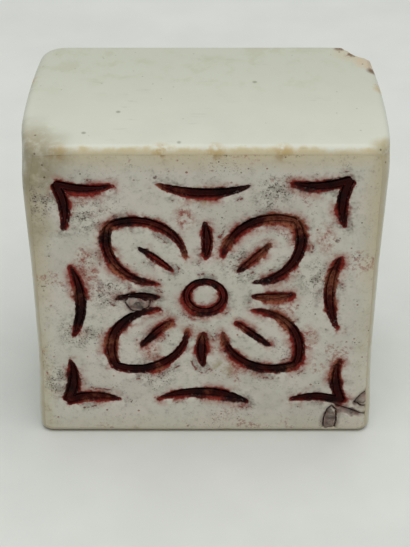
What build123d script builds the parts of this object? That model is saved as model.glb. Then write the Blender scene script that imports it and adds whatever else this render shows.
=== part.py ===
from build123d import *
import os

# Square porcelain seal, lying on one side wall with its carved face to the front.
# Millimetres. X runs left to right, Y from the seal face to the back, Z is up.
# The origin is under the middle of the block, on the surface that it lies on.

# Block: low and square, its side walls waisted from foot to crown and bowed from face to back.
# The walls stand straight for the rim height; halfway to the waist, the halfway share of the
# widening is left.
block_height = 46.1
block_depth = 25.2
foot_width = 45.0
waist_width = 44.4
crown_width = 46.0
waist_height = 13.6
halfway_share = 0.3
rim_height = 4.2
bow_radius = 117.0
belly_setback = 5.0
back_corner_radius = 3.2
front_corner_radius = 1.8
edge_radius = 1.0

# Glaze: runs over the side walls and the back, and stops at the rounded edge of the seal face
glaze_thickness = 0.35

# Broken corner: a shallow scallop knocked off the crown at one back corner
scallop_radius = 6.0
scallop_bite = 1.15

# Carved field: the square in the middle of the seal face that the ornament fills
field_width = 37.0

# V cuts: one cutter makes them all, so a deeper cut is a wider one
cutter_flare_share = 0.85
ring_depth = 0.62
petal_depth = 0.82
vein_depth = 0.58
bud_depth = 0.78
border_depth = 0.86
bracket_depth = 0.9

# Seal paste: lies in the bottom of each cut, from this share of the cut's depth down
paste_level_share = 0.42

# One overrun serves every cutting tool
overrun = 0.6

# Places on the carved field, as shares of half its width: across, then up
ring_radius_share = 0.13
petal_tip_shares = (0.62, 0.64)
petal_cheek_shares = (0.24, 0.57)
petal_root_shares = (0.13, 0.22)
vein_shares = ((0.2, 0.19), (0.34, 0.33), (0.47, 0.49))
bud_shares = ((0.0, 0.3), (0.015, 0.46), (-0.01, 0.66))
border_shares = ((-0.37, 0.97), (0.0, 0.87), (0.36, 0.96))
bracket_corner_shares = (0.98, 0.98)
bracket_bend_shares = (0.8, 0.93)
bracket_end_shares = (0.55, 0.97)

# How the cutter is pressed along its path: share of the path, then share of the full depth
stroke_shares = ((0.0, 0.0), (0.14, 0.6), (0.36, 1.0), (0.62, 0.95), (0.85, 0.5), (1.0, 0.0))
arm_shares = ((0.0, 0.85), (0.2, 1.0), (0.5, 0.9), (0.8, 0.5), (1.0, 0.0))

# The ornament repeats by quarter turns, each with a small slip of the carver's hand
corner_names = ("upper_right", "upper_left", "lower_left", "lower_right")
side_names = ("top", "left", "bottom", "right")
slip_degrees = (0.0, 1.8, -1.4, 1.1)
pressure_shares = (1.0, 0.92, 1.05, 0.96)

# Worked out from the sizes above
face_y = -block_depth / 2
back_y = block_depth / 2
belly_y = face_y + belly_setback
field_half = field_width / 2
field_centre = Location((0, face_y, block_height / 2))


def plan_outline(width, inset, reach):
    """Level section of the block: straight face and back, bowed sides, four rounded corners."""
    half_width = width / 2 - inset
    bow = bow_radius - inset
    front = face_y + inset - reach
    back = back_y - inset
    front_half = half_width - bow + (bow**2 - (front - belly_y) ** 2) ** 0.5
    back_half = half_width - bow + (bow**2 - (back - belly_y) ** 2) ** 0.5
    outline = Polyline((-front_half, front), (front_half, front))
    outline += ThreePointArc((front_half, front), (half_width, belly_y), (back_half, back))
    outline += Polyline((back_half, back), (-back_half, back))
    outline += ThreePointArc((-back_half, back), (-half_width, belly_y), (-front_half, front))
    section = make_face(outline)
    section = fillet(section.vertices().group_by(Axis.Y)[-1], back_corner_radius - inset)
    return fillet(section.vertices().group_by(Axis.Y)[0], front_corner_radius - inset)


def block_form(inset, reach):
    """Outside of the block, or the same form smaller by an inset and running out at the front."""
    foot_bend = waist_width + halfway_share * (foot_width - waist_width)
    crown_bend = waist_width + halfway_share * (crown_width - waist_width)
    stations = (
        (rim_height, foot_width),
        ((rim_height + waist_height) / 2, foot_bend),
        (waist_height, waist_width),
        ((waist_height + block_height - rim_height) / 2, crown_bend),
        (block_height - rim_height, crown_width),
    )
    sections = [Pos(0, 0, level) * plan_outline(width, inset, reach) for level, width in stations]
    foot = extrude(sections[0], rim_height - inset, dir=(0, 0, -1))
    crown = extrude(sections[-1], rim_height - inset, dir=(0, 0, 1))
    rims = foot.faces().sort_by(Axis.Z)[0].edges(), crown.faces().sort_by(Axis.Z)[-1].edges()
    return loft(sections, ruled=True), foot, crown, rims


def outside_form():
    """Block with every edge of its foot and crown rounded."""
    wall, foot, crown, rims = block_form(0, 0)
    return wall + fillet(rims[0], edge_radius) + fillet(rims[1], edge_radius)


def core_form():
    """Block under the glaze, with its edges bevelled so that the glaze keeps its thickness."""
    bevel = (2 - 2**0.5) * (edge_radius - glaze_thickness)
    wall, foot, crown, rims = block_form(glaze_thickness, front_corner_radius + overrun)
    return wall + chamfer(rims[0], bevel) + chamfer(rims[1], bevel)


def corner_scallop():
    """Ball that breaks away the crown's right back corner, aimed in from outside it."""
    bow = bow_radius - (bow_radius**2 - (back_y - belly_y) ** 2) ** 0.5
    square_corner = Vector(crown_width / 2 - bow, back_y, block_height)
    round_corner = square_corner - Vector(1, 1, 0) * back_corner_radius * (1 - 0.5**0.5)
    centre = round_corner + Vector(1, 1, 1).normalized() * (scallop_radius - scallop_bite)
    return Pos(*centre) * Sphere(scallop_radius)


def on_field(place_shares):
    """Point on the seal face, from its shares of half the field."""
    return Vector(place_shares[0] * field_half, 0, place_shares[1] * field_half)


def arc_on_field(start_shares, middle_shares, end_shares):
    """Bowed path on the seal face through three places."""
    return ThreePointArc(on_field(start_shares), on_field(middle_shares), on_field(end_shares))


def flipped(place_shares):
    """The same place on the other side of the diagonal."""
    return (place_shares[1], place_shares[0])


def cutter_section(path, run_share, depth):
    """Section of a V cut, square to its path, from clear of the face to the bottom of the cut."""
    point = path @ run_share
    across = (path % run_share).cross(Vector(0, 1, 0)).normalized()
    half = across * (depth + overrun) * cutter_flare_share
    mouth = point - Vector(0, overrun, 0)
    bottom = point + Vector(0, depth, 0)
    return make_face(Polyline(mouth - half, mouth + half, bottom, close=True))


def v_cut(path, depth, pressing_shares):
    """Track of the cutter along a path, deeper and wider where it is pressed harder."""
    return loft([cutter_section(path, run, depth * share) for run, share in pressing_shares])


def petal_cut(depth):
    """Outline of one petal: two bowed cuts that meet at its tip."""
    left = arc_on_field(petal_tip_shares, petal_cheek_shares, petal_root_shares)
    right = arc_on_field(petal_tip_shares, flipped(petal_cheek_shares), flipped(petal_root_shares))
    return v_cut(left, depth, arm_shares) + v_cut(right, depth, arm_shares)


def vein_cut(depth):
    """Vein down the middle of one petal."""
    return v_cut(arc_on_field(*vein_shares), depth, stroke_shares)


def bud_cut(depth):
    """Short straight cut between two petals."""
    return v_cut(arc_on_field(*bud_shares), depth, stroke_shares)


def border_cut(depth):
    """Long bowed cut along one side of the field."""
    return v_cut(arc_on_field(*border_shares), depth, stroke_shares)


def bracket_cut(depth):
    """Bracket in one corner of the field: two bowed arms that meet there."""
    level = arc_on_field(bracket_corner_shares, bracket_bend_shares, bracket_end_shares)
    upright = arc_on_field(
        flipped(bracket_corner_shares), flipped(bracket_bend_shares), flipped(bracket_end_shares)
    )
    return v_cut(level, depth, arm_shares) + v_cut(upright, depth, arm_shares)


def ring_cut(depth):
    """Closed ring round the middle of the flower."""
    radius = ring_radius_share * field_half
    half = (depth + overrun) * cutter_flare_share
    section = Polyline((radius - half, -overrun), (radius + half, -overrun), (radius, depth), close=True)
    return revolve(make_face(section), Axis.Y)


def paste_in(cut, depth):
    """Paste in the bottom of a cut, level from end to end."""
    spread = field_width + overrun
    below = Box(spread, depth + overrun, spread, align=(Align.CENTER, Align.MIN, Align.CENTER))
    return cut & (Pos(0, depth * paste_level_share, 0) * below)


# Every cut in the seal face, with its depth, under the name of the paste that lies in it
cuts = {"paste_centre_ring": (ring_cut(ring_depth), ring_depth)}
for quarter, (corner_name, side_name) in enumerate(zip(corner_names, side_names)):
    turned = Rot(0, -90 * quarter - slip_degrees[quarter], 0)
    motifs = (
        (f"paste_petal_{corner_name}", petal_cut, petal_depth),
        (f"paste_vein_{corner_name}", vein_cut, vein_depth),
        (f"paste_bud_{side_name}", bud_cut, bud_depth),
        (f"paste_border_{side_name}", border_cut, border_depth),
        (f"paste_bracket_{corner_name}", bracket_cut, bracket_depth),
    )
    for name, motif_cut, full_depth in motifs:
        depth = full_depth * pressure_shares[quarter]
        cuts[name] = (turned * motif_cut(depth), depth)

# Fired block and its glaze, with the broken corner through both and the cuts in the bare face
outside = outside_form() - corner_scallop()
core = core_form()
glaze_coat = outside - core
porcelain_body = outside & core
for cut, depth in cuts.values():
    porcelain_body = porcelain_body - field_centre * cut

# One file for each piece
os.makedirs("parts", exist_ok=True)
export_step(porcelain_body, "parts/porcelain_body.step")
export_step(glaze_coat, "parts/glaze_coat.step")
for name, (cut, depth) in cuts.items():
    export_step(field_centre * paste_in(cut, depth), f"parts/{name}.step")
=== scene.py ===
import math

import bpy
import numpy as np
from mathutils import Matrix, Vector, kdtree


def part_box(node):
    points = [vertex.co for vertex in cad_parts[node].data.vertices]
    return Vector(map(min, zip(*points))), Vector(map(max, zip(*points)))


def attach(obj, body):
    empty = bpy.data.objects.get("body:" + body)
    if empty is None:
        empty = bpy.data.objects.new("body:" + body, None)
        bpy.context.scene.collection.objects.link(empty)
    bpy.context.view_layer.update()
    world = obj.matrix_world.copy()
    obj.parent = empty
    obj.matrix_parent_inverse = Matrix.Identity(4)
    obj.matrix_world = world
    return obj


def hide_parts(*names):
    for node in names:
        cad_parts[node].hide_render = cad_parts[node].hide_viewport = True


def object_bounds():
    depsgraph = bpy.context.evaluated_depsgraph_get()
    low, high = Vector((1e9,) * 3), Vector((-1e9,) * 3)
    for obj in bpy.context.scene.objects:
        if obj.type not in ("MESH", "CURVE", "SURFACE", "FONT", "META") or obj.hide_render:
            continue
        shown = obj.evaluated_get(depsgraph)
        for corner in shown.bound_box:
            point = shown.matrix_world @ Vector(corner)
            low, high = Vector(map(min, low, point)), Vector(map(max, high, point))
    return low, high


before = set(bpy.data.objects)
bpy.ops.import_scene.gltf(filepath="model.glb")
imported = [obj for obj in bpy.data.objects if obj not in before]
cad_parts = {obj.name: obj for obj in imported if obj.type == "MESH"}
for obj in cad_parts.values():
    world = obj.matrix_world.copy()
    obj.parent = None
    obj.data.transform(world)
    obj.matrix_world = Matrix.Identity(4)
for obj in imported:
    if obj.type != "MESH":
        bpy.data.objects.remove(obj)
cad_box = [list(corner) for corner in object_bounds()]
scene = bpy.context.scene
scene.view_settings.view_transform = "Standard"
millimetre = 0.001


# Camera
# A close view of the seal face from above the block, as someone leaning over a table sees it,
# through a long lens. Lengths are in metres.
camera_height = 0.172
camera_distance = 0.2086
camera_pitch_down = math.radians(36.5)
camera_lens = 125.3
camera_sensor = 36
camera_sees_from = 0.005

bpy.ops.object.camera_add(
    location=(0, -camera_distance, camera_height),
    rotation=(math.pi / 2 - camera_pitch_down, 0, 0),
)
camera = bpy.context.object
camera.name = "camera"
camera.data.lens = camera_lens
camera.data.sensor_width = camera_sensor
camera.data.sensor_fit = "AUTO"
camera.data.clip_start = camera_sees_from
scene.camera = camera


# Paper under the seal
# A sheet of plain matt paper on a table, larger than any view of the seal.
# Uncoated paper: an even pale grey-green white, with only a trace of mottling.
paper_half_width = 1.5
paper_mottle = 22.0
# Every soft blotch has this much finer detail in it
blotchy = {"Detail": 3.5, "Roughness": 0.62}


def linear(hex_colour):
    """sRGB hex colour as linear RGBA."""
    shares = [int(hex_colour[start:start + 2], 16) / 255 for start in (1, 3, 5)]
    return [s / 12.92 if s <= 0.04045 else ((s + 0.055) / 1.055) ** 2.4 for s in shares] + [1.0]


def add_node(tree, kind, inputs=None, **settings):
    """Adds a node, sets its settings, and sets or links its inputs by name or number."""
    node = tree.nodes.new(kind)
    for name, value in settings.items():
        setattr(node, name, value)
    for socket, value in (inputs or {}).items():
        if isinstance(value, bpy.types.NodeSocket):
            tree.links.new(value, node.inputs[socket])
        else:
            node.inputs[socket].default_value = linear(value) if isinstance(value, str) else value
    return node


def new_material(name):
    """Empty node material with its Principled shader and object coordinates in millimetres."""
    material = bpy.data.materials.new(name)
    material.use_nodes = True
    tree = material.node_tree
    tree.nodes.clear()
    shader = add_node(tree, "ShaderNodeBsdfPrincipled")
    add_node(tree, "ShaderNodeOutputMaterial", {"Surface": shader.outputs["BSDF"]})
    in_metres = add_node(tree, "ShaderNodeTexCoord").outputs["Object"]
    in_mm = add_node(
        tree, "ShaderNodeVectorMath", {0: in_metres, "Scale": 1 / millimetre}, operation="SCALE"
    )
    return material, tree, shader, in_mm.outputs["Vector"]


def how_strong(tree, *measures):
    """Product of several measures. Each is a value and the two levels between which it grows from
    none to full, and may end with its least and its greatest strength."""
    strength = None
    for value, none_at, full_at, *limits in measures:
        least, most = limits or (0.0, 1.0)
        grown = add_node(
            tree,
            "ShaderNodeMapRange",
            {"Value": value, "From Min": none_at, "From Max": full_at, "To Min": least, "To Max": most},
            interpolation_type="SMOOTHSTEP",
        ).outputs["Result"]
        if strength is not None:
            grown = add_node(
                tree, "ShaderNodeMath", {0: strength, 1: grown}, operation="MULTIPLY"
            ).outputs[0]
        strength = grown
    return strength


def stain(tree, colour, *layers):
    """Lays stains over a colour, one on the other. Each layer is the colour of the stain and the
    measures that say how strong it is."""
    for stain_colour, *measures in layers:
        colour = add_node(
            tree,
            "ShaderNodeMix",
            {"Factor": how_strong(tree, *measures), 6: colour, 7: stain_colour},
            data_type="RGBA",
        ).outputs[2]
    return colour


bpy.ops.mesh.primitive_plane_add(size=2 * paper_half_width, location=(0, 0, 0))
paper = bpy.context.object
paper.name = "paper"
paper_finish, tree, shader, place = new_material("uncoated_paper")
mottle = add_node(tree, "ShaderNodeTexNoise", {"Vector": place, "Scale": 1 / paper_mottle, **blotchy})
paper_colour = stain(tree, "#D4D6D2", ("#DADCD8", (mottle.outputs[0], 0.3, 0.7)))
tree.links.new(paper_colour, shader.inputs["Base Color"])
shader.inputs["Roughness"].default_value = 0.9
paper.data.materials.append(paper_finish)


# Light
# One broad soft light above the block, a little to its right and front, and an even pale room.
# The room is seen at its full strength, and lights the seal at about half of it.
room_colour = linear("#E4E6E5")
room_strength = 0.46
ceiling_colour = linear("#FFFFFD")
ceiling_power = 7.2
ceiling_size = 0.9
ceiling_place = (0.07, -0.1, 0.95)

world = bpy.data.worlds.new("pale_room")
world.use_nodes = True
scene.world = world
tree = world.node_tree
tree.nodes.clear()
rays = add_node(tree, "ShaderNodeLightPath")
room_light = add_node(tree, "ShaderNodeBackground", {"Color": room_colour, "Strength": room_strength})
room_seen = add_node(tree, "ShaderNodeBackground", {"Color": room_colour, "Strength": 1.0})
room = add_node(
    tree,
    "ShaderNodeMixShader",
    {0: rays.outputs["Is Camera Ray"], 1: room_light.outputs[0], 2: room_seen.outputs[0]},
)
add_node(tree, "ShaderNodeOutputWorld", {"Surface": room.outputs[0]})

bpy.ops.object.light_add(type="AREA", location=ceiling_place)
ceiling = bpy.context.object
ceiling.name = "ceiling_light"
ceiling.data.shape = "SQUARE"
ceiling.data.size = ceiling_size
ceiling.data.energy = ceiling_power
ceiling.data.color = ceiling_colour[:3]
ceiling.rotation_euler = Vector(ceiling_place).to_track_quat("Z", "Y").to_euler()


# Porcelain body
# The fired block: fine white porcelain, ground flat on the seal face and cut there by hand.
# The bare face is worn at its rim, flaked beside some cuts, and stained by years of seal paste.
body_grain = 0.2 * millimetre
body_low, body_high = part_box("porcelain_body")
face_y = body_low.y
face_front = face_y / millimetre
middle_height = (body_low + body_high).z / 2 / millimetre
merge_distance = 0.002 * millimetre
slab_taper = 0.55
slab_thickness = 1.4


def deselect_all():
    """Nothing selected, so that an operator only works on what is picked next."""
    for thing in bpy.context.selected_objects:
        thing.select_set(False)


def pick(thing):
    """Makes one object the only one selected, and the active one."""
    deselect_all()
    thing.select_set(True)
    bpy.context.view_layer.objects.active = thing


def copy_of_solid(node_name, piece_name):
    """Copy of one solid of the frame, its loose triangles merged."""
    piece = bpy.data.objects.new(piece_name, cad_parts[node_name].data.copy())
    scene.collection.objects.link(piece)
    piece.data.materials.clear()
    pick(piece)
    bpy.ops.object.mode_set(mode="EDIT")
    bpy.ops.mesh.select_all(action="SELECT")
    bpy.ops.mesh.remove_doubles(threshold=merge_distance)
    bpy.ops.object.mode_set(mode="OBJECT")
    return piece


def apply_modifier(piece, kind, **settings):
    """Adds a modifier with its settings and applies it."""
    pick(piece)
    modifier = piece.modifiers.new(kind.lower(), kind)
    for name, value in settings.items():
        setattr(modifier, name, value)
    bpy.ops.object.modifier_apply(modifier=modifier.name)


def push_back(piece, depth, group):
    """Pushes a group of points back from the face, by its weights."""
    apply_modifier(piece, "DISPLACE", direction="Y", mid_level=0.0, strength=depth, vertex_group=group)


def sink_surface(piece, blotch, depth, group=""):
    """Lets the surface sink unevenly, never rise: blotch is how wide the dips are."""
    texture = bpy.data.textures.new(piece.name + "_dips", "CLOUDS")
    texture.noise_scale = blotch
    apply_modifier(
        piece,
        "DISPLACE",
        texture=texture,
        texture_coords="LOCAL",
        direction="NORMAL",
        mid_level=0.0,
        strength=-depth,
        vertex_group=group,
    )


def knock_out(piece, centre, radii, turn=(0, 0, 0), sides=0):
    """Takes a bite out of a piece with a rough pebble, or with a slab of three or more sides."""
    deselect_all()
    if sides:
        bpy.ops.mesh.primitive_cone_add(
            vertices=sides, radius1=1, radius2=slab_taper, depth=slab_thickness, location=(0, 0, 0)
        )
    else:
        bpy.ops.mesh.primitive_ico_sphere_add(subdivisions=3, radius=1, location=(0, 0, 0))
    bpy.ops.transform.resize(value=radii)
    tool = bpy.context.object
    tool.rotation_euler = turn
    tool.location = centre
    apply_modifier(piece, "BOOLEAN", operation="DIFFERENCE", solver="MANIFOLD", object=tool)
    bpy.data.objects.remove(tool)


body = copy_of_solid("porcelain_body", "carved_body")

# Flake scars in the face: where across and up, half sizes along X, Y and Z, lean, sides
flakes = (
    (-8.8, 21.6, 1.6, 0.55, 1.05, 8, 3),
    (16.9, 2.4, 0.8, 0.2, 2.2, 0, 0),
    (19.5, 3.7, 1.6, 0.28, 0.7, 18, 0),
    (21.2, 5.7, 1.3, 0.26, 0.75, -38, 0),
)
for across, up, half_x, half_y, half_z, lean, sides in flakes:
    turn = (math.pi / 2, math.radians(lean), 0) if sides else (0, math.radians(lean), 0)
    radii = (half_x, half_z, half_y) if sides else (half_x, half_y, half_z)
    knock_out(
        body,
        Vector((across * millimetre, face_y, up * millimetre)),
        [radius * millimetre for radius in radii],
        turn,
        sides,
    )

# A spur of clay that the cutter left at the tip of one petal, broken off
spur_place = Vector((-11.8, face_front, 11.5))
spur_radius = 0.5
knock_out(body, spur_place * millimetre, [spur_radius * millimetre] * 3)

# Nicks in the rim: where on the rim, which way out, pebble radius, bite, all in millimetres.
# The rounded rim of the face lies a little inside the corner of its box.
rim_half = cad_box[1][0] / millimetre
rim_top = cad_box[1][2] / millimetre
rim_front = cad_box[0][1] / millimetre
rim_back = cad_box[1][1] / millimetre
rim_inset = 0.29
nicks = (
    ((-18.2, rim_front + rim_inset, rim_top - rim_inset), (0, -1, 1), 0.9, 0.06),
    ((-5.4, rim_front + rim_inset, rim_top - rim_inset), (0.2, -1, 1), 1.5, 0.08),
    ((1.2, rim_front + rim_inset, rim_top - rim_inset), (-0.3, -1, 1), 1.9, 0.12),
    ((9.7, rim_front + rim_inset, rim_top - rim_inset), (0, -1, 1), 1.1, 0.06),
    ((-rim_half + 0.75, 3.6, rim_top - 0.3), (-1, 0, 1), 1.3, 0.16),
    ((rim_half - 0.6, 1.6, rim_top - 0.3), (1, 0, 1), 0.7, 0.1),
    ((3.1, rim_front + rim_inset, rim_inset), (0, -1, -1), 1.3, 0.14),
    ((-9.4, rim_front + rim_inset, rim_inset), (0, -1, -1), 1.6, 0.12),
    ((rim_half - 4.3, rim_back - 0.3, rim_top - 0.3), (0.2, 1, 1), 1.7, 0.32),
    ((rim_half - 1.1, rim_back - 4.9, rim_top - 0.3), (1, 0.3, 1), 2.6, 0.4),
    ((rim_half - 3.0, rim_back - 1.9, rim_top - 0.9), (0.6, 0.6, 1), 1.2, 0.3),
)


def nick_all(piece):
    """Knocks every nick out of a piece."""
    for spot, way_out, radius, bite in nicks:
        centre = Vector(spot) + Vector(way_out).normalized() * (radius - bite)
        knock_out(piece, centre * millimetre, [radius * millimetre] * 3)


# Corners of the rim that years of handling have worn round: where, how far it reaches, how deep
worn_round = (
    ((-rim_half + 0.6, rim_front + 0.6, rim_top - 0.9), 3.2, 1.1),
    ((rim_half - 0.5, rim_front + 0.6, rim_top - 0.6), 1.8, 0.5),
)
# The whole front edge of the top is worn too: how far that reaches and how deep it goes
edge_wear_reach = 1.5
edge_wear_depth = 0.4
down_and_back = np.array((0, 1, -1)) / math.sqrt(2)


def points_of(piece):
    """Places of a piece's points, in millimetres."""
    points = np.empty(len(piece.data.vertices) * 3, np.float32)
    piece.data.vertices.foreach_get("co", points)
    return points.reshape(-1, 3) / millimetre


def group_by_weight(piece, name, weights):
    """Vertex group with one weight for each point, where it is worth having."""
    group = piece.vertex_groups.new(name=name)
    levels = np.round(weights, 2)
    for level in np.unique(levels[levels > 0]):
        group.add([int(index) for index in np.nonzero(levels == level)[0]], float(level), "REPLACE")


def worn_by(points):
    """How far each point has been worn back, as a step into the block, in millimetres."""
    from_edge = np.hypot(points[:, 1] - rim_front, points[:, 2] - rim_top)
    edge_wear = edge_wear_depth * np.exp(-((from_edge / edge_wear_reach) ** 2))
    steps = edge_wear[:, None] * down_and_back
    for spot, reach, depth in worn_round:
        into_block = np.array((-np.sign(spot[0]), 1, -1)) / math.sqrt(3)
        far = np.linalg.norm(points - np.array(spot), axis=1)
        steps += depth * np.exp(-((far / reach) ** 2))[:, None] * into_block
    return steps


def wear_corners(piece):
    """Wears the rim of a piece, most at a corner or edge itself and softly less around it."""
    points = points_of(piece)
    worn = (points + worn_by(points)) * millimetre
    piece.data.vertices.foreach_set("co", np.ascontiguousarray(worn, np.float32).ravel())
    piece.data.update()


# Hairline cracks: one from the lower right bracket to the rim, one round each of two flakes there,
# and one under the flake at the left bud. Each is a chain of points, across and up.
cracks = (
    ((17.7, 4.7), (19.2, 4.0), (20.4, 3.5), (22.3, 2.9)),
    ((22.2, 7.3), (20.9, 6.6), (20.1, 5.3), (21.0, 4.7), (22.3, 4.3)),
    ((16.0, 0.5), (16.1, 2.5), (16.5, 4.0), (17.1, 4.6), (17.7, 4.0), (17.8, 2.2), (17.5, 0.5)),
    ((-10.4, 22.2), (-9.6, 20.9), (-8.6, 20.5), (-7.3, 21.3), (-7.1, 22.4)),
)
# Distance and reach of a point that has no cut, crack or flake near it
far_off = 9.0


def crack_distance(points):
    """Distance in millimetres from each point of the face to the nearest crack."""
    flat = points[:, (0, 2)]
    least = np.full(len(points), far_off)
    for crack in cracks:
        for start, end in zip(crack, crack[1:]):
            start, run = np.array(start), np.array(end) - np.array(start)
            share = np.clip((flat - start) @ run / (run @ run), 0, 1)
            least = np.minimum(least, np.linalg.norm(flat - start - share[:, None] * run, axis=1))
    return least


def flake_reach(points):
    """How far out each point lies in the nearest flake scar: 0 in its middle, 1 at its ragged rim."""
    least = np.full(len(points), far_off)
    for flake_x, flake_z, half_x, _, half_z, lean, _ in flakes:
        along, over = points[:, 0] - flake_x, points[:, 2] - flake_z
        cosine, sine = math.cos(math.radians(lean)), math.sin(math.radians(lean))
        turned_x, turned_z = along * cosine - over * sine, along * sine + over * cosine
        # Three lobes, and finer teeth that run across them
        lobes = 0.16 * np.sin(3 * np.arctan2(turned_z, turned_x) + flake_x)
        teeth = 0.1 * np.sin(5.3 * along + 3.1 * over)
        ragged = 1 + lobes + teeth
        least = np.minimum(least, np.hypot(turned_x / half_x, turned_z / half_z) * ragged)
    return least


# How far the carved field reaches from its middle, the depths between which a point lies in a cut,
# and the depths at which the cracks, the front of the block and its rim end
field_reach = 19.6
cut_from = 0.2
cut_to = 1.4
cracks_to = 0.7
front_to = 1.6
rim_to = 2.4
# A flake is as deep as a cut, so a cut only counts, and is only inked, this far out of a flake
counts_past_flake = 1.15
inked_past_flake = 1.05


def measure_face(piece):
    """For each point of a piece: its depth below the face, whether it is in the carved field, its
    distance to the nearest cut, and how far out in a flake it lies."""
    points = points_of(piece)
    below_face = points[:, 1] - face_front - worn_by(points)[:, 1]
    in_width = np.abs(points[:, 0]) < field_reach
    in_height = np.abs(points[:, 2] - middle_height) < field_reach
    in_field = in_width & in_height
    in_flake = flake_reach(points)
    in_cut = in_field & (below_face > cut_from) & (below_face < cut_to)
    in_cut &= in_flake > counts_past_flake
    cuts = kdtree.KDTree(int(in_cut.sum()))
    for count, index in enumerate(np.nonzero(in_cut)[0]):
        cuts.insert((points[index, 0], 0.0, points[index, 2]), count)
    cuts.balance()
    distance = np.full(len(points), far_off)
    for index in np.nonzero(below_face < front_to)[0]:
        distance[index] = cuts.find((points[index, 0], 0.0, points[index, 2]))[2]
    return below_face, in_field, distance, in_flake


nick_all(body)
apply_modifier(body, "REMESH", mode="VOXEL", voxel_size=body_grain, adaptivity=0.0)
wear_corners(body)

# The face sinks softly towards each cut, the lips of the cuts are chipped, and the cracks gape
soft_reach, soft_depth = 0.9, 0.09 * millimetre
lip_middle, lip_reach = 0.1, 0.5
chip_width, chip_depth = 0.4 * millimetre, 0.22 * millimetre
crack_reach, crack_depth = 0.28, 0.22 * millimetre
below_face, _, distance, _ = measure_face(body)
from_crack = crack_distance(points_of(body))
on_front = below_face < front_to
near_lips = np.clip(1 - np.abs(distance - lip_middle) / lip_reach, 0, 1)
near_cracks = np.clip(1 - from_crack / crack_reach, 0, 1)
group_by_weight(body, "near_cuts", np.exp(-((distance / soft_reach) ** 2)) * on_front)
group_by_weight(body, "lips", near_lips * on_front)
group_by_weight(body, "cracks", near_cracks * (below_face < cracks_to))
push_back(body, soft_depth, "near_cuts")
push_back(body, crack_depth, "cracks")
sink_surface(body, chip_width, chip_depth, "lips")

# All over, the ground and fired surface is slightly uneven, in broad dips and in fine ones
broad_dip, fine_dip, dip_depth = 1.6 * millimetre, 0.45 * millimetre, 0.05 * millimetre
sink_surface(body, broad_dip, dip_depth)
sink_surface(body, fine_dip, dip_depth)

# The sides and back lie under the glaze, so they need few faces
faces_kept = 0.38
below_face = measure_face(body)[0]
group_by_weight(body, "under_glaze", 1.0 * (below_face > rim_to))
apply_modifier(
    body, "DECIMATE", decimate_type="COLLAPSE", ratio=faces_kept, vertex_group="under_glaze"
)

# What the finish reads: depth in the cuts, distance to the nearest cut, reach in a flake, and
# distance to a crack
below_face, in_field, distance, in_flake = measure_face(body)
for name, values in (
    ("cut_depth", np.where(in_field & (in_flake > inked_past_flake), below_face, 0.0)),
    ("stroke_distance", distance),
    ("flake_reach", in_flake),
    ("crack_distance", crack_distance(points_of(body))),
):
    attribute = body.data.attributes.new(name, "FLOAT", "POINT")
    attribute.data.foreach_set("value", np.ascontiguousarray(values, np.float32))


def specks(tree, place, spacing_mm, radius_mm, share):
    """Scattered round specks, 1 inside and 0 outside, of which only a share is there."""
    cells = add_node(tree, "ShaderNodeTexVoronoi", {"Vector": place, "Scale": 1 / spacing_mm})
    pick_some = add_node(tree, "ShaderNodeSeparateColor", {0: cells.outputs["Color"]}).outputs[0]
    return how_strong(
        tree,
        (cells.outputs["Distance"], 1.2 * radius_mm / spacing_mm, 0.7 * radius_mm / spacing_mm),
        (pick_some, 0.99 - share, 1 - share),
    )


def least_distance(tree, place, spots):
    """Distance in millimetres to the nearest of several spots."""
    least = None
    for spot in spots:
        far = add_node(
            tree, "ShaderNodeVectorMath", {0: place, 1: spot}, operation="DISTANCE"
        ).outputs["Value"]
        if least is not None:
            far = add_node(tree, "ShaderNodeMath", {0: least, 1: far}, operation="MINIMUM").outputs[0]
        least = far
    return least


def bare_clay(tree, place):
    """Colour of the fired clay, the same on the face and where the glaze thins over its rim:
    faintly pink-grey in the middle, warmer towards the top rim, yellowed low on both sides."""
    axes = add_node(tree, "ShaderNodeSeparateXYZ", {0: place}).outputs
    across = add_node(tree, "ShaderNodeMath", {0: axes["X"]}, operation="ABSOLUTE").outputs[0]
    up = add_node(
        tree, "ShaderNodeMath", {0: axes["Z"], 1: middle_height}, operation="SUBTRACT"
    ).outputs[0]
    off_level = add_node(tree, "ShaderNodeMath", {0: up}, operation="ABSOLUTE").outputs[0]
    from_middle = add_node(
        tree, "ShaderNodeMath", {0: across, 1: off_level}, operation="MAXIMUM"
    ).outputs[0]
    hazy, broad, sidelong, fine = [
        add_node(tree, "ShaderNodeTexNoise", {"Vector": place, "Scale": 1 / size, **blotchy}).outputs[0]
        for size in (11.0, 7.0, 5.0, 1.4)
    ]
    to_rim = add_node(
        tree, "ShaderNodeMath", {0: broad, 1: 3.0, 2: from_middle}, operation="MULTIPLY_ADD"
    ).outputs[0]
    to_side = add_node(
        tree, "ShaderNodeMath", {0: fine, 1: 2.4, 2: across}, operation="MULTIPLY_ADD"
    ).outputs[0]
    return stain(
        tree,
        "#D4D1C3",
        ("#D9D1C6", (broad, 0.35, 0.68)),
        ("#B7B3A7", (fine, 0.45, 0.75, 0.0, 0.45)),
        ("#BFBAAE", (hazy, 0.46, 0.66, 0.0, 0.45)),
        ("#CCBF9E", (to_rim, 20.2, 24.2, 0.0, 0.95), (up, -14.0, 17.0, 0.25, 1.0)),
        ("#C2B78A", (to_side, 20.6, 23.2), (sidelong, 0.42, 0.62, 0.0, 0.6), (up, 9.0, -4.0, 0.1, 0.8)),
    )


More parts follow.
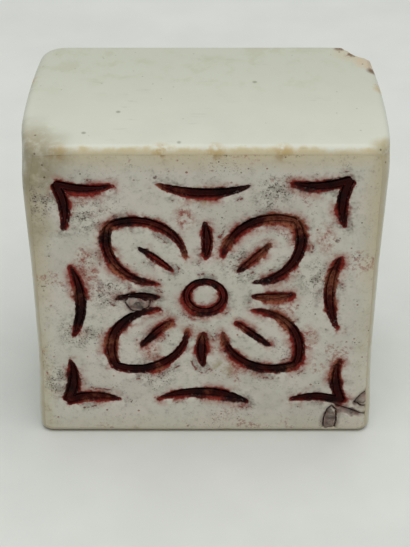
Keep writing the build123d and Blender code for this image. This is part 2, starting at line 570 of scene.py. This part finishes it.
# Grime worked into worn corners: where, how far it reaches, colour
broken_corner = Vector((rim_half - 2.8, rim_back - 1.2, rim_top - 0.3))
grimy_corners = (
    ((-rim_half + 0.2, rim_front + 0.6, rim_top - 2.6), 8.2, "#9A9075"),
    ((-rim_half + 0.4, rim_front + 0.4, rim_top - 12.0), 5.0, "#B3A98F"),
    ((rim_half - 0.5, rim_front + 0.7, rim_top - 0.8), 3.0, "#B2A684"),
    (tuple(broken_corner), 4.4, "#BFB59B"),
    ((rim_half - 1.6, rim_back - 4.6, rim_top - 0.3), 2.6, "#C4B196"),
)


def corner_grime(tree, place, colour):
    """Lays the grime of the worn corners over a colour, the same on the bare face and on the glaze."""
    tide, fine = [
        add_node(tree, "ShaderNodeTexNoise", {"Vector": place, "Scale": 1 / size, **blotchy}).outputs[0]
        for size in (2.6, 1.3)
    ]
    crumbs = specks(tree, place, 0.9, 0.15, 0.35)
    for spot, reach, grime in grimy_corners:
        far = add_node(
            tree,
            "ShaderNodeMath",
            {0: tide, 1: reach * 0.7, 2: least_distance(tree, place, [spot])},
            operation="MULTIPLY_ADD",
        ).outputs[0]
        colour = stain(
            tree,
            colour,
            (grime, (far, reach * 1.3, reach * 0.7), (fine, 0.25, 0.6, 0.4, 0.9)),
            ("#6A5844", (far, reach * 1.2, reach * 0.9), (crumbs, 0, 1, 0.0, 0.75)),
        )
    return colour


def dried_paste(tree, place, depth):
    """Colour of old cinnabar paste: blood red where it is thin, browner in some stretches, and nearly
    black where it lies deep, partly as dark old paste and partly as painted shade deep in the cut, and
    nearly black too in the stretches that were inked most."""
    inked, browned, grit = [
        add_node(tree, "ShaderNodeTexNoise", {"Vector": place, "Scale": 1 / size, **blotchy}).outputs[0]
        for size in (6.0, 4.5, 0.45)
    ]
    return stain(
        tree,
        "#87281E",
        ("#99583F", (browned, 0.53, 0.62)),
        ("#560E09", (grit, 0.42, 0.66, 0.0, 0.85)),
        # Nearly black with depth below the face: partly dark old paste, partly painted shade deep in the
        # cut
        ("#240403", (depth, 0.22, 0.5, 0.0, 0.95), (browned, 0.66, 0.5, 0.45, 1.0)),
        ("#120404", (inked, 0.47, 0.6, 0.0, 0.9), (grit, 0.3, 0.5, 0.6, 1.0)),
    )


# Bare porcelain, fired and ground: matt and faintly mottled, with paste worked into its pores
body_finish, tree, shader, place = new_material("bare_ground_porcelain")
depth, distance, flake, crack = [
    add_node(tree, "ShaderNodeAttribute", attribute_name=name).outputs["Fac"]
    for name in ("cut_depth", "stroke_distance", "flake_reach", "crack_distance")
]
zones, patches, fine, streaks, grit, grain = [
    add_node(tree, "ShaderNodeTexNoise", {"Vector": place, "Scale": 1 / size, **blotchy}).outputs[0]
    for size in (5.0, 3.2, 1.4, 0.9, 0.4, 0.24)
]
colour = corner_grime(tree, place, bare_clay(tree, place))

# Round the cuts, in some stretches and not in others: a soft grey darkening close to the cut, a soft
# red bloom, and here and there a ragged red edge or a second line beside the cut
second_line = 0.75
off_line = add_node(
    tree, "ShaderNodeMath", {0: distance, 1: second_line}, operation="SUBTRACT"
).outputs[0]
off_line = add_node(tree, "ShaderNodeMath", {0: off_line}, operation="ABSOLUTE").outputs[0]
colour = stain(
    tree,
    colour,
    ("#8A7F75", (grit, 0.5, 0.75, 0.0, 0.5), (fine, 0.4, 0.65, 0.2, 1.0)),
    ("#6F645C", (distance, 1.7, 0.1, 0.0, 0.7), (patches, 0.47, 0.63), (grit, 0.3, 0.6, 0.5, 1.0)),
    ("#A8665A", (distance, 1.5, 0.1, 0.0, 0.7), (zones, 0.45, 0.58), (fine, 0.35, 0.6, 0.4, 1.0)),
    ("#8C3A30", (distance, 0.95, 0.1), (streaks, 0.48, 0.62), (zones, 0.44, 0.56, 0.05, 0.85)),
    ("#7A2A23", (off_line, 0.22, 0.04), (patches, 0.58, 0.63), (grit, 0.42, 0.54, 0.0, 0.85)),
)

# Away from them: a few long red smears, yellowed spots, and patches where black crumbs lie thick.
# Each is placed across and up; a smear is drawn out upwards.
smears = (
    (-15.4, 29.0), (-14.7, 26.6), (13.6, 16.2), (-2.6, 35.6), (15.4, 32.4), (4.2, 12.0), (-7.2, 14.5),
)
yellowed = ((2.4, 11.2), (-0.4, 39.0))
crumbly = (
    (-16.6, 17.2), (-12.6, 23.6), (4.6, 28.2), (14.6, 26.0), (8.6, 39.4), (-6.6, 10.4), (-15.0, 36.0),
    (-20.7, 38.0), (-19.4, 9.4),
)
smear_slimness = 1.7
tall_place = add_node(
    tree, "ShaderNodeVectorMath", {0: place, 1: (smear_slimness, 1.0, 1.0)}, operation="MULTIPLY"
).outputs[0]
near_smear = least_distance(tree, tall_place, [(smear_slimness * x, rim_front, z) for x, z in smears])
near_yellow = least_distance(tree, place, [(x, rim_front, z) for x, z in yellowed])
near_crumbs = least_distance(tree, place, [(x, rim_front, z) for x, z in crumbly])
black_specks = specks(tree, place, 0.9, 0.13, 0.14)
red_specks = specks(tree, place, 1.1, 0.17, 0.18)
brown_specks = specks(tree, place, 2.8, 0.34, 0.25)
colour = stain(
    tree,
    colour,
    ("#A39468", (near_yellow, 2.3, 0.4, 0.0, 0.7), (fine, 0.4, 0.6)),
    ("#B08478", (near_smear, 3.6, 0.6, 0.0, 0.6), (fine, 0.4, 0.62)),
    ("#96483D", (near_smear, 2.8, 0.8, 0.0, 0.85), (streaks, 0.45, 0.58), (grit, 0.35, 0.55, 0.3, 1.0)),
    ("#A2665C", (zones, 0.58, 0.66, 0.0, 0.6), (grit, 0.46, 0.62)),
    ("#8B8177", (near_crumbs, 3.6, 0.6, 0.0, 0.6), (fine, 0.42, 0.62)),
    ("#41342E", (near_crumbs, 3.8, 0.6, 0.0, 0.9), (grain, 0.53, 0.6), (fine, 0.36, 0.55)),
    ("#4E413A", (patches, 0.48, 0.6, 0.0, 0.8), (grain, 0.58, 0.65), (zones, 0.4, 0.6, 0.35, 1.0)),
    ("#4A3A34", (black_specks, 0, 1), (patches, 0.35, 0.65, 0.2, 0.9)),
    ("#8E453C", (red_specks, 0, 1), (streaks, 0.4, 0.6, 0.1, 0.8)),
    ("#5C3F38", (brown_specks, 0, 1), (grit, 0.4, 0.6, 0.1, 0.75)),
)

# In the cuts: red at the lips, then the paste left on the walls, which reaches higher in some stretches.
# Flake scars: grey glassy breaks, with black paste drawn into the cracks beside them.
# Last, brown grime in the nicks of the rim.
wall_height = add_node(
    tree, "ShaderNodeMath", {0: zones, 1: 0.7, 2: depth}, operation="MULTIPLY_ADD"
).outputs[0]
paste_height = how_strong(
    tree, (wall_height, 0.45, 0.62), (depth, 0.05, 0.16), (grit, 0.25, 0.5, 0.7, 1.0)
)
scar_colour = stain(tree, "#665C55", ("#A58E86", (fine, 0.4, 0.62)))
grime_drop = 0.6
rim_spots = [(x, y, z - grime_drop) for (x, y, z), *_ in nicks]
near_nicks = least_distance(tree, place, rim_spots)
colour = stain(
    tree,
    colour,
    ("#84382C", (distance, 0.45, 0.02), (streaks, 0.42, 0.58), (zones, 0.42, 0.55, 0.15, 0.9)),
    # The paste on the walls darkens with depth: partly dark old paste, partly painted shade deep in the
    # cut
    (dried_paste(tree, place, depth), (paste_height, 0, 1)),
    (scar_colour, (flake, 1.05, 0.75), (streaks, 0.3, 0.6, 0.6, 1.0)),
    ("#64423B", (crack, 0.8, 0.05, 0.0, 0.65), (fine, 0.35, 0.6, 0.3, 1.0)),
    ("#1F1210", (crack, 0.18, 0.05), (grit, 0.3, 0.5, 0.45, 1.0)),
    ("#A08658", (near_nicks, 1.8, 0.3, 0.0, 0.75), (fine, 0.4, 0.6)),
)
tree.links.new(colour, shader.inputs["Base Color"])

# Matt, with the level marks of the grinding and a fine grit in its relief
tree.links.new(how_strong(tree, (fine, 0.3, 0.7, 0.55, 0.75)), shader.inputs["Roughness"])
shader.inputs["Specular IOR Level"].default_value = 0.1
drawn_out = add_node(tree, "ShaderNodeMapping", {"Vector": place, "Scale": (0.25, 1.0, 3.0)}).outputs[0]
marks = add_node(tree, "ShaderNodeTexNoise", {"Vector": drawn_out, "Scale": 1.0, **blotchy}).outputs[0]
relief = add_node(
    tree, "ShaderNodeMath", {0: grit, 1: 0.6, 2: marks}, operation="MULTIPLY_ADD"
).outputs[0]
bump = add_node(
    tree, "ShaderNodeBump", {"Height": relief, "Strength": 0.35, "Distance": 0.04 * millimetre}
)
tree.links.new(bump.outputs[0], shader.inputs["Normal"])
body.data.materials.clear()
body.data.materials.append(body_finish)
body_crease = math.radians(50)
pick(body)
bpy.ops.object.shade_smooth_by_angle(angle=body_crease)
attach(body, "root")
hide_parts("porcelain_body")


# Glaze
# A thin clear glaze over the four side walls and the back, faintly green where it lies thick.
# It was dipped on and fired, pulls back from the rim of the face, and shows a few pinholes.
glaze_wall = 0.32 * millimetre
front_lap = 1.0 * millimetre
low, high = (Vector(corner) for corner in cad_box)
centre = (low + high) / 2
size = high - low

bpy.ops.mesh.primitive_cube_add(size=1, location=centre)
glaze = bpy.context.object
glaze.name = "fired_glaze"
glaze.scale = size
pick(glaze)
bpy.ops.object.transform_apply(location=True, rotation=True, scale=True)

# Cut across in each direction, closely near the rims and widely between them
near_rim_steps = (0.2, 0.4, 0.6, 0.8, 1.0, 1.3, 1.7, 2.2, 2.7, 3.3, 4.0, 4.9)
wide_step = 1.5
bpy.ops.object.mode_set(mode="EDIT")
for axis in range(3):
    length = size[axis] / millimetre
    between = length - 2 * near_rim_steps[-1]
    count = max(2, round(between / wide_step))
    wide_steps = [near_rim_steps[-1] + between * step / count for step in range(1, count)]
    far_rim_steps = [length - step for step in near_rim_steps]
    direction = [0, 0, 0]
    direction[axis] = 1
    for cut in [*near_rim_steps, *wide_steps, *far_rim_steps]:
        spot = list(centre)
        spot[axis] = low[axis] + cut * millimetre
        bpy.ops.mesh.select_all(action="SELECT")
        bpy.ops.mesh.bisect(plane_co=spot, plane_no=direction, clear_inner=False, clear_outer=False)
bpy.ops.mesh.select_all(action="DESELECT")
bpy.ops.object.mode_set(mode="OBJECT")

# Open on the seal face, all but a narrow lap round its rim
faces_front = -0.9
for vertex in glaze.data.vertices:
    vertex.select = False
for edge in glaze.data.edges:
    edge.select = False
for face in glaze.data.polygons:
    from_centre = face.center - centre
    to_rim = max(abs(from_centre.x) - size.x / 2, abs(from_centre.z) - size.z / 2)
    face.select = face.normal.y < faces_front and to_rim < -front_lap
bpy.context.tool_settings.mesh_select_mode = (False, False, True)
bpy.ops.object.mode_set(mode="EDIT")
bpy.ops.mesh.delete(type="FACE")
bpy.ops.object.mode_set(mode="OBJECT")
bpy.context.tool_settings.mesh_select_mode = (True, False, False)

# Wrapped on the block, then smoothed where the walls are straight and less near their rims
rim_band = 4.5
rim_smoothing = 0.4
front_band = 4.0
smoothing_rounds = 8
envelope = copy_of_solid("glaze_coat", "glaze_envelope")
under = copy_of_solid("porcelain_body", "body_envelope")
pick(envelope)
under.select_set(True)
bpy.ops.object.join()
apply_modifier(glaze, "SHRINKWRAP", target=envelope, wrap_method="NEAREST_SURFACEPOINT")
bpy.data.objects.remove(envelope)
points = points_of(glaze)
off_level = np.abs(points[:, 2] - rim_top / 2)
smoothing = np.where(off_level < rim_top / 2 - rim_band, 1.0, rim_smoothing)
group_by_weight(glaze, "walls", smoothing * (points[:, 1] > rim_front + front_band))
apply_modifier(glaze, "SMOOTH", factor=0.5, iterations=smoothing_rounds, vertex_group="walls")

# Slow waves where the glaze ran, and a lap on the face that thins out unevenly to its edge
wave_width, wave_depth = 9.0 * millimetre, 0.05 * millimetre
feather_width, feather_depth = 1.8 * millimetre, 0.4 * millimetre
even_share = 0.35
lap_thickness = 0.05
sink_surface(glaze, wave_width, wave_depth)
wear_corners(glaze)
points = points_of(glaze)
from_centre = np.abs(points * millimetre - np.array(centre))
to_rim = np.minimum(size.x / 2 - from_centre[:, 0], size.z / 2 - from_centre[:, 2]) / front_lap
feathered = np.clip((to_rim - even_share) / (1 - even_share), 0, 1)
group_by_weight(glaze, "lap_edge", feathered * (points[:, 1] < rim_front + lap_thickness))
sink_surface(glaze, feather_width, feather_depth, "lap_edge")
apply_modifier(glaze, "SOLIDIFY", thickness=glaze_wall, offset=-1.0)

# The nicks go through the glaze too, and the back corner of the top is knocked off
blow_radii = (6.1, 6.3, 6.0)
blow_setback = 4.9
blow_place = broken_corner + Vector((1, 1, 1)).normalized() * blow_setback
nick_all(glaze)
knock_out(glaze, blow_place * millimetre, [radius * millimetre for radius in blow_radii])

# Clear feldspar glaze on white clay: a soft gloss, greener towards the back, and painted shade that
# darkens the top towards the back. Over the rim of the face it thins until the warm clay shows, and
# grime sits in its nicks and worn corners.
glaze_finish, tree, shader, place = new_material("fired_celadon_white_glaze")
axes = add_node(tree, "ShaderNodeSeparateXYZ", {0: place}).outputs
height = axes["Z"]
cloud, tide, fine = [
    add_node(tree, "ShaderNodeTexNoise", {"Vector": place, "Scale": 1 / size, **blotchy}).outputs[0]
    for size in (9.0, 2.6, 1.3)
]
from_face = add_node(
    tree, "ShaderNodeMath", {0: axes["Y"], 1: rim_front}, operation="SUBTRACT"
).outputs[0]
thin_edge = add_node(
    tree, "ShaderNodeMath", {0: tide, 1: -1.4, 2: from_face}, operation="MULTIPLY_ADD"
).outputs[0]
side_edge = add_node(
    tree, "ShaderNodeMath", {0: tide, 1: -1.6, 2: from_face}, operation="MULTIPLY_ADD"
).outputs[0]
scuff_place = add_node(
    tree, "ShaderNodeMapping", {"Vector": place, "Rotation": (0, 0, 0.35), "Scale": (0.12, 1.4, 1.0)}
).outputs[0]
scuffs = add_node(
    tree, "ShaderNodeTexNoise", {"Vector": scuff_place, "Scale": 1.0, **blotchy}
).outputs[0]
near_nicks = least_distance(tree, place, rim_spots)
colour = stain(
    tree,
    "#CED0C2",
    # Painted shade: the glaze darkens steadily towards the back of the top
    ("#BEC1B1", (from_face, 2.0, 24.0)),
    ("#C2C3B7", (cloud, 0.35, 0.7, 0.0, 0.4)),
    ("#B5B39E", (cloud, 0.62, 0.46, 0.0, 0.5), (tide, 0.45, 0.65), (from_face, 8.0, 20.0)),
    (bare_clay(tree, place), (thin_edge, 0.2, -0.4)),
    ("#BDB298", (side_edge, 0.9, -0.3, 0.0, 0.9), (height, rim_top - 0.5, rim_top - 2.2)),
    (
        "#BFB28C",
        (side_edge, 0.1, -0.5, 0.0, 0.6),
        (height, rim_top - 1.4, rim_top - 0.7),
        (fine, 0.34, 0.6),
    ),
    ("#B89F6C", (near_nicks, 1.7, 0.4, 0.0, 0.8), (fine, 0.36, 0.56)),
    ("#A9AB9C", (scuffs, 0.58, 0.68, 0.0, 0.4), (tide, 0.5, 0.64)),
)
colour = corner_grime(tree, place, colour)

# Brown iron stain in the chips, kiln specks in two sizes, and pinholes in the top
brown_chips = (
    (rim_half - 5.2, rim_back - 0.8, rim_top),
    (rim_half - 3.9, rim_back - 2.6, rim_top - 0.4),
    (rim_half - 1.2, rim_back - 6.6, rim_top - 0.1),
    (rim_half - 0.3, rim_front + 0.5, rim_top - 1.2),
)
pinholes = ((-10.9, -4.3, rim_top), (-15.0, -9.2, rim_top), (6.4, 3.0, rim_top), (-3.2, -11.2, rim_top))
near_chips = least_distance(tree, place, brown_chips)
near_pinholes = least_distance(tree, place, pinholes)
small_specks = specks(tree, place, 1.3, 0.13, 0.3)
large_specks = specks(tree, place, 6.0, 0.36, 0.16)
colour = stain(
    tree,
    colour,
    ("#6B4A2C", (near_chips, 1.1, 0.3, 0.0, 0.9), (fine, 0.3, 0.5)),
    ("#8E8B78", (small_specks, 0, 1, 0.0, 0.45)),
    ("#7E7A63", (large_specks, 0, 1, 0.0, 0.6)),
    ("#77775F", (near_pinholes, 0.42, 0.12, 0.0, 0.6)),
)
tree.links.new(colour, shader.inputs["Base Color"])
tree.links.new(how_strong(tree, (thin_edge, 0.05, -0.4, 0.32, 0.7)), shader.inputs["Roughness"])
shader.inputs["Specular IOR Level"].default_value = 0.36
ripple_width = 2.4
ripples = add_node(
    tree, "ShaderNodeTexNoise", {"Vector": place, "Scale": 1 / ripple_width, **blotchy}
).outputs[0]
bump = add_node(
    tree, "ShaderNodeBump", {"Height": ripples, "Strength": 0.2, "Distance": 0.05 * millimetre}
)
tree.links.new(bump.outputs[0], shader.inputs["Normal"])
glaze.data.materials.clear()
glaze.data.materials.append(glaze_finish)
glaze_crease = math.radians(40)
pick(glaze)
bpy.ops.object.shade_smooth_by_angle(angle=glaze_crease)
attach(glaze, "root")
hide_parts("glaze_coat")


# Seal paste in the cuts
# Cinnabar paste, dried hard in the bottom of every cut: dark red where it lies high, nearly black
# where it lies deep, partly as dark old paste and partly as painted shade deep in the cut.
# It shrank as it dried, so it clings to the walls, is hollow along its middle, and its skin is lumpy.
paste_grain = 0.1 * millimetre
hollow_depth = 0.2 * millimetre
cling_width = 0.35
opens_forward = -0.8
lump_width, lump_depth = 0.5 * millimetre, 0.07 * millimetre
paste_crease = math.radians(60)
paste_finish, tree, shader, place = new_material("dried_cinnabar_paste")
axes = add_node(tree, "ShaderNodeSeparateXYZ", {0: place}).outputs
depth = add_node(
    tree, "ShaderNodeMath", {0: axes["Y"], 1: rim_front}, operation="SUBTRACT"
).outputs[0]
clots, crust = [
    add_node(tree, "ShaderNodeTexNoise", {"Vector": place, "Scale": 1 / size, **blotchy}).outputs[0]
    for size in (1.2, 0.3)
]
# Its colour darkens with depth below the face: partly dark old paste, partly painted shade in the cut
tree.links.new(dried_paste(tree, place, depth), shader.inputs["Base Color"])
tree.links.new(how_strong(tree, (clots, 0.3, 0.7, 0.55, 0.8)), shader.inputs["Roughness"])
shader.inputs["Specular IOR Level"].default_value = 0.1
bump = add_node(
    tree, "ShaderNodeBump", {"Height": crust, "Strength": 0.5, "Distance": 0.06 * millimetre}
)
tree.links.new(bump.outputs[0], shader.inputs["Normal"])


def hollow_out(deposit):
    """Sinks the open surface of a deposit along its middle and leaves it clinging to the walls."""
    count = len(deposit.data.vertices)
    points = points_of(deposit)
    normals = np.empty(count * 3, np.float32)
    deposit.data.vertices.foreach_get("normal", normals)
    is_open = normals.reshape(-1, 3)[:, 1] < opens_forward
    walls = kdtree.KDTree(int((~is_open).sum()))
    for place_in_tree, index in enumerate(np.nonzero(~is_open)[0]):
        walls.insert(points[index], place_in_tree)
    walls.balance()
    weights = np.zeros(count)
    for index in np.nonzero(is_open)[0]:
        weights[index] = min(walls.find(points[index])[2] / cling_width, 1.0)
    group_by_weight(deposit, "open_surface", weights)
    push_back(deposit, hollow_depth, "open_surface")


for node_name in sorted(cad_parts):
    if not node_name.startswith("paste_"):
        continue
    deposit = copy_of_solid(node_name, "dried_" + node_name)
    apply_modifier(deposit, "REMESH", mode="VOXEL", voxel_size=paste_grain, adaptivity=0.0)
    hollow_out(deposit)
    sink_surface(deposit, lump_width, lump_depth)
    deposit.data.materials.clear()
    deposit.data.materials.append(paste_finish)
    pick(deposit)
    bpy.ops.object.shade_smooth_by_angle(angle=paste_crease)
    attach(deposit, "root")
    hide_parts(node_name)


deselect_all()
